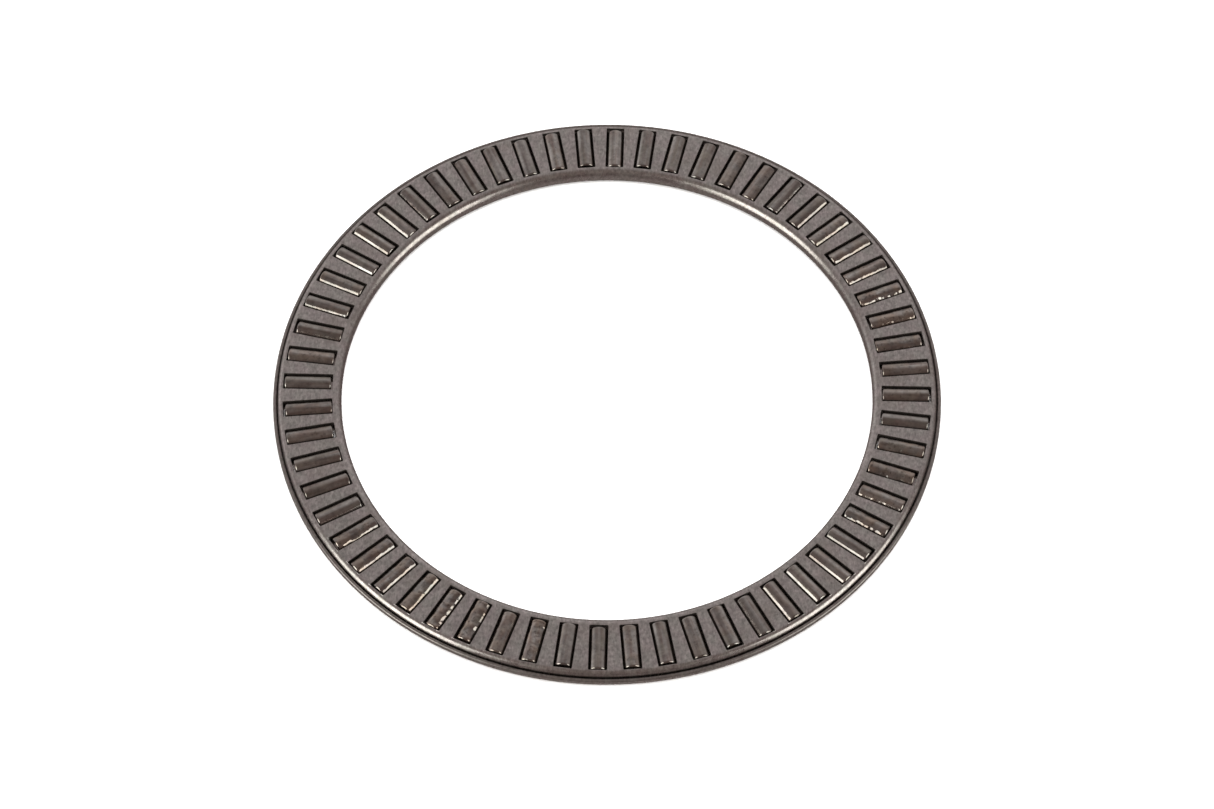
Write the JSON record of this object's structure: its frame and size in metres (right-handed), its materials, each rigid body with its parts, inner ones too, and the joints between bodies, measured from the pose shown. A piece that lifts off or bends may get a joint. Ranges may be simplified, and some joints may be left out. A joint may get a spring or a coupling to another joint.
{
  "type": "thrust needle roller and cage assembly",
  "caption": "Flat ring cage of two nested pressed-steel shells holding radial needle rollers, which spin freely in their windows and carry axial load between two washers.",
  "frame": {"origin": "on the bearing axis, in the plane that the rollers' undersides touch", "axes": "+Z along the bearing axis, up through the upper shell; +X along the axis of the last roller of the count"},
  "size_m": [0.09, 0.09, 0.0025],
  "materials": {
    "cage_sheet_steel": "satin cold-rolled sheet with a thin oil film",
    "roller_steel": "ground and polished bearing steel with a thin oil film"
  },
  "bodies": {
    "cage": {"upper_cage_shell": "cage_sheet_steel", "lower_cage_shell": "cage_sheet_steel"},
    "roller_01": {"roller_01": "roller_steel"},
    "roller_02": {"roller_02": "roller_steel"},
    "roller_03": {"roller_03": "roller_steel"},
    "roller_04": {"roller_04": "roller_steel"},
    "roller_05": {"roller_05": "roller_steel"},
    "roller_06": {"roller_06": "roller_steel"},
    "roller_07": {"roller_07": "roller_steel"},
    "roller_08": {"roller_08": "roller_steel"},
    "roller_09": {"roller_09": "roller_steel"},
    "roller_10": {"roller_10": "roller_steel"},
    "roller_11": {"roller_11": "roller_steel"},
    "roller_12": {"roller_12": "roller_steel"},
    "roller_13": {"roller_13": "roller_steel"},
    "roller_14": {"roller_14": "roller_steel"},
    "roller_16": {"roller_16": "roller_steel"},
    "roller_17": {"roller_17": "roller_steel"},
    "roller_18": {"roller_18": "roller_steel"},
    "roller_19": {"roller_19": "roller_steel"},
    "roller_20": {"roller_20": "roller_steel"},
    "roller_21": {"roller_21": "roller_steel"},
    "roller_22": {"roller_22": "roller_steel"},
    "roller_23": {"roller_23": "roller_steel"},
    "roller_24": {"roller_24": "roller_steel"},
    "roller_25": {"roller_25": "roller_steel"},
    "roller_26": {"roller_26": "roller_steel"},
    "roller_27": {"roller_27": "roller_steel"},
    "roller_28": {"roller_28": "roller_steel"},
    "roller_29": {"roller_29": "roller_steel"},
    "roller_31": {"roller_31": "roller_steel"},
    "roller_32": {"roller_32": "roller_steel"},
    "roller_33": {"roller_33": "roller_steel"},
    "roller_34": {"roller_34": "roller_steel"},
    "roller_35": {"roller_35": "roller_steel"},
    "roller_36": {"roller_36": "roller_steel"},
    "roller_37": {"roller_37": "roller_steel"},
    "roller_38": {"roller_38": "roller_steel"},
    "roller_39": {"roller_39": "roller_steel"},
    "roller_40": {"roller_40": "roller_steel"},
    "roller_41": {"roller_41": "roller_steel"},
    "roller_42": {"roller_42": "roller_steel"},
    "roller_43": {"roller_43": "roller_steel"},
    "roller_44": {"roller_44": "roller_steel"},
    "roller_46": {"roller_46": "roller_steel"},
    "roller_47": {"roller_47": "roller_steel"},
    "roller_48": {"roller_48": "roller_steel"},
    "roller_49": {"roller_49": "roller_steel"},
    "roller_50": {"roller_50": "roller_steel"},
    "roller_51": {"roller_51": "roller_steel"},
    "roller_52": {"roller_52": "roller_steel"},
    "roller_53": {"roller_53": "roller_steel"},
    "roller_54": {"roller_54": "roller_steel"},
    "roller_55": {"roller_55": "roller_steel"},
    "roller_56": {"roller_56": "roller_steel"},
    "roller_57": {"roller_57": "roller_steel"},
    "roller_58": {"roller_58": "roller_steel"},
    "roller_59": {"roller_59": "roller_steel"},
    "rollers_15_and_45": {"rollers_15_and_45": "roller_steel"},
    "rollers_30_and_60": {"rollers_30_and_60": "roller_steel"}
  },
  "joints": [
    {"name": "roller_01_spin", "type": "hinge", "parent": "cage", "child": "roller_01", "pos_m": [0.04008, 0.00421, 0.00125], "axis": [0.9945, 0.1045, 0], "continuous": true},
    {"name": "roller_02_spin", "type": "hinge", "parent": "cage", "child": "roller_02", "pos_m": [0.03942, 0.00838, 0.00125], "axis": [0.9781, 0.2079, 0], "continuous": true},
    {"name": "roller_03_spin", "type": "hinge", "parent": "cage", "child": "roller_03", "pos_m": [0.03833, 0.01245, 0.00125], "axis": [0.9511, 0.309, 0], "continuous": true},
    {"name": "roller_04_spin", "type": "hinge", "parent": "cage", "child": "roller_04", "pos_m": [0.03682, 0.01639, 0.00125], "axis": [0.9135, 0.4067, 0], "continuous": true},
    {"name": "roller_05_spin", "type": "hinge", "parent": "cage", "child": "roller_05", "pos_m": [0.0349, 0.02015, 0.00125], "axis": [0.866, 0.5, 0], "continuous": true},
    {"name": "roller_06_spin", "type": "hinge", "parent": "cage", "child": "roller_06", "pos_m": [0.0326, 0.02369, 0.00125], "axis": [0.809, 0.5878, 0], "continuous": true},
    {"name": "roller_07_spin", "type": "hinge", "parent": "cage", "child": "roller_07", "pos_m": [0.02995, 0.02697, 0.00125], "axis": [0.7431, 0.6691, 0], "continuous": true},
    {"name": "roller_08_spin", "type": "hinge", "parent": "cage", "child": "roller_08", "pos_m": [0.02697, 0.02995, 0.00125], "axis": [0.6691, 0.7431, 0], "continuous": true},
    {"name": "roller_09_spin", "type": "hinge", "parent": "cage", "child": "roller_09", "pos_m": [0.02369, 0.0326, 0.00125], "axis": [0.5878, 0.809, 0], "continuous": true},
    {"name": "roller_10_spin", "type": "hinge", "parent": "cage", "child": "roller_10", "pos_m": [0.02015, 0.0349, 0.00125], "axis": [0.5, 0.866, 0], "continuous": true},
    {"name": "roller_11_spin", "type": "hinge", "parent": "cage", "child": "roller_11", "pos_m": [0.01639, 0.03682, 0.00125], "axis": [0.4067, 0.9135, 0], "continuous": true},
    {"name": "roller_12_spin", "type": "hinge", "parent": "cage", "child": "roller_12", "pos_m": [0.01245, 0.03833, 0.00125], "axis": [0.309, 0.9511, 0], "continuous": true},
    {"name": "roller_13_spin", "type": "hinge", "parent": "cage", "child": "roller_13", "pos_m": [0.00838, 0.03942, 0.00125], "axis": [0.2079, 0.9781, 0], "continuous": true},
    {"name": "roller_14_spin", "type": "hinge", "parent": "cage", "child": "roller_14", "pos_m": [0.00421, 0.04008, 0.00125], "axis": [0.1045, 0.9945, 0], "continuous": true},
    {"name": "roller_16_spin", "type": "hinge", "parent": "cage", "child": "roller_16", "pos_m": [-0.00421, 0.04008, 0.00125], "axis": [-0.1045, 0.9945, 0], "continuous": true},
    {"name": "roller_17_spin", "type": "hinge", "parent": "cage", "child": "roller_17", "pos_m": [-0.00838, 0.03942, 0.00125], "axis": [-0.2079, 0.9781, 0], "continuous": true},
    {"name": "roller_18_spin", "type": "hinge", "parent": "cage", "child": "roller_18", "pos_m": [-0.01245, 0.03833, 0.00125], "axis": [-0.309, 0.9511, 0], "continuous": true},
    {"name": "roller_19_spin", "type": "hinge", "parent": "cage", "child": "roller_19", "pos_m": [-0.01639, 0.03682, 0.00125], "axis": [-0.4067, 0.9135, 0], "continuous": true},
    {"name": "roller_20_spin", "type": "hinge", "parent": "cage", "child": "roller_20", "pos_m": [-0.02015, 0.0349, 0.00125], "axis": [-0.5, 0.866, 0], "continuous": true},
    {"name": "roller_21_spin", "type": "hinge", "parent": "cage", "child": "roller_21", "pos_m": [-0.02369, 0.0326, 0.00125], "axis": [-0.5878, 0.809, 0], "continuous": true},
    {"name": "roller_22_spin", "type": "hinge", "parent": "cage", "child": "roller_22", "pos_m": [-0.02697, 0.02995, 0.00125], "axis": [-0.6691, 0.7431, 0], "continuous": true},
    {"name": "roller_23_spin", "type": "hinge", "parent": "cage", "child": "roller_23", "pos_m": [-0.02995, 0.02697, 0.00125], "axis": [-0.7431, 0.6691, 0], "continuous": true},
    {"name": "roller_24_spin", "type": "hinge", "parent": "cage", "child": "roller_24", "pos_m": [-0.0326, 0.02369, 0.00125], "axis": [-0.809, 0.5878, 0], "continuous": true},
    {"name": "roller_25_spin", "type": "hinge", "parent": "cage", "child": "roller_25", "pos_m": [-0.0349, 0.02015, 0.00125], "axis": [-0.866, 0.5, 0], "continuous": true},
    {"name": "roller_26_spin", "type": "hinge", "parent": "cage", "child": "roller_26", "pos_m": [-0.03682, 0.01639, 0.00125], "axis": [-0.9135, 0.4067, 0], "continuous": true},
    {"name": "roller_27_spin", "type": "hinge", "parent": "cage", "child": "roller_27", "pos_m": [-0.03833, 0.01245, 0.00125], "axis": [-0.9511, 0.309, 0], "continuous": true},
    {"name": "roller_28_spin", "type": "hinge", "parent": "cage", "child": "roller_28", "pos_m": [-0.03942, 0.00838, 0.00125], "axis": [-0.9781, 0.2079, 0], "continuous": true},
    {"name": "roller_29_spin", "type": "hinge", "parent": "cage", "child": "roller_29", "pos_m": [-0.04008, 0.00421, 0.00125], "axis": [-0.9945, 0.1045, 0], "continuous": true},
    {"name": "roller_31_spin", "type": "hinge", "parent": "cage", "child": "roller_31", "pos_m": [-0.04008, -0.00421, 0.00125], "axis": [-0.9945, -0.1045, 0], "continuous": true},
    {"name": "roller_32_spin", "type": "hinge", "parent": "cage", "child": "roller_32", "pos_m": [-0.03942, -0.00838, 0.00125], "axis": [-0.9781, -0.2079, 0], "continuous": true},
    {"name": "roller_33_spin", "type": "hinge", "parent": "cage", "child": "roller_33", "pos_m": [-0.03833, -0.01245, 0.00125], "axis": [-0.9511, -0.309, 0], "continuous": true},
    {"name": "roller_34_spin", "type": "hinge", "parent": "cage", "child": "roller_34", "pos_m": [-0.03682, -0.01639, 0.00125], "axis": [-0.9135, -0.4067, 0], "continuous": true},
    {"name": "roller_35_spin", "type": "hinge", "parent": "cage", "child": "roller_35", "pos_m": [-0.0349, -0.02015, 0.00125], "axis": [-0.866, -0.5, 0], "continuous": true},
    {"name": "roller_36_spin", "type": "hinge", "parent": "cage", "child": "roller_36", "pos_m": [-0.0326, -0.02369, 0.00125], "axis": [-0.809, -0.5878, 0], "continuous": true},
    {"name": "roller_37_spin", "type": "hinge", "parent": "cage", "child": "roller_37", "pos_m": [-0.02995, -0.02697, 0.00125], "axis": [-0.7431, -0.6691, 0], "continuous": true},
    {"name": "roller_38_spin", "type": "hinge", "parent": "cage", "child": "roller_38", "pos_m": [-0.02697, -0.02995, 0.00125], "axis": [-0.6691, -0.7431, 0], "continuous": true},
    {"name": "roller_39_spin", "type": "hinge", "parent": "cage", "child": "roller_39", "pos_m": [-0.02369, -0.0326, 0.00125], "axis": [-0.5878, -0.809, 0], "continuous": true},
    {"name": "roller_40_spin", "type": "hinge", "parent": "cage", "child": "roller_40", "pos_m": [-0.02015, -0.0349, 0.00125], "axis": [-0.5, -0.866, 0], "continuous": true},
    {"name": "roller_41_spin", "type": "hinge", "parent": "cage", "child": "roller_41", "pos_m": [-0.01639, -0.03682, 0.00125], "axis": [-0.4067, -0.9135, 0], "continuous": true},
    {"name": "roller_42_spin", "type": "hinge", "parent": "cage", "child": "roller_42", "pos_m": [-0.01245, -0.03833, 0.00125], "axis": [-0.309, -0.9511, 0], "continuous": true},
    {"name": "roller_43_spin", "type": "hinge", "parent": "cage", "child": "roller_43", "pos_m": [-0.00838, -0.03942, 0.00125], "axis": [-0.2079, -0.9781, 0], "continuous": true},
    {"name": "roller_44_spin", "type": "hinge", "parent": "cage", "child": "roller_44", "pos_m": [-0.00421, -0.04008, 0.00125], "axis": [-0.1045, -0.9945, 0], "continuous": true},
    {"name": "roller_46_spin", "type": "hinge", "parent": "cage", "child": "roller_46", "pos_m": [0.00421, -0.04008, 0.00125], "axis": [0.1045, -0.9945, 0], "continuous": true},
    {"name": "roller_47_spin", "type": "hinge", "parent": "cage", "child": "roller_47", "pos_m": [0.00838, -0.03942, 0.00125], "axis": [0.2079, -0.9781, 0], "continuous": true},
    {"name": "roller_48_spin", "type": "hinge", "parent": "cage", "child": "roller_48", "pos_m": [0.01245, -0.03833, 0.00125], "axis": [0.309, -0.9511, 0], "continuous": true},
    {"name": "roller_49_spin", "type": "hinge", "parent": "cage", "child": "roller_49", "pos_m": [0.01639, -0.03682, 0.00125], "axis": [0.4067, -0.9135, 0], "continuous": true},
    {"name": "roller_50_spin", "type": "hinge", "parent": "cage", "child": "roller_50", "pos_m": [0.02015, -0.0349, 0.00125], "axis": [0.5, -0.866, 0], "continuous": true},
    {"name": "roller_51_spin", "type": "hinge", "parent": "cage", "child": "roller_51", "pos_m": [0.02369, -0.0326, 0.00125], "axis": [0.5878, -0.809, 0], "continuous": true},
    {"name": "roller_52_spin", "type": "hinge", "parent": "cage", "child": "roller_52", "pos_m": [0.02697, -0.02995, 0.00125], "axis": [0.6691, -0.7431, 0], "continuous": true},
    {"name": "roller_53_spin", "type": "hinge", "parent": "cage", "child": "roller_53", "pos_m": [0.02995, -0.02697, 0.00125], "axis": [0.7431, -0.6691, 0], "continuous": true},
    {"name": "roller_54_spin", "type": "hinge", "parent": "cage", "child": "roller_54", "pos_m": [0.0326, -0.02369, 0.00125], "axis": [0.809, -0.5878, 0], "continuous": true},
    {"name": "roller_55_spin", "type": "hinge", "parent": "cage", "child": "roller_55", "pos_m": [0.0349, -0.02015, 0.00125], "axis": [0.866, -0.5, 0], "continuous": true},
    {"name": "roller_56_spin", "type": "hinge", "parent": "cage", "child": "roller_56", "pos_m": [0.03682, -0.01639, 0.00125], "axis": [0.9135, -0.4067, 0], "continuous": true},
    {"name": "roller_57_spin", "type": "hinge", "parent": "cage", "child": "roller_57", "pos_m": [0.03833, -0.01245, 0.00125], "axis": [0.9511, -0.309, 0], "continuous": true},
    {"name": "roller_58_spin", "type": "hinge", "parent": "cage", "child": "roller_58", "pos_m": [0.03942, -0.00838, 0.00125], "axis": [0.9781, -0.2079, 0], "continuous": true},
    {"name": "roller_59_spin", "type": "hinge", "parent": "cage", "child": "roller_59", "pos_m": [0.04008, -0.00421, 0.00125], "axis": [0.9945, -0.1045, 0], "continuous": true},
    {"name": "rollers_15_and_45_spin", "type": "hinge", "parent": "cage", "child": "rollers_15_and_45", "pos_m": [0, 0.0403, 0.00125], "axis": [0, 1, 0], "continuous": true},
    {"name": "rollers_30_and_60_spin", "type": "hinge", "parent": "cage", "child": "rollers_30_and_60", "pos_m": [-0.0403, 0, 0.00125], "axis": [-1, 0, 0], "continuous": true}
  ]
}
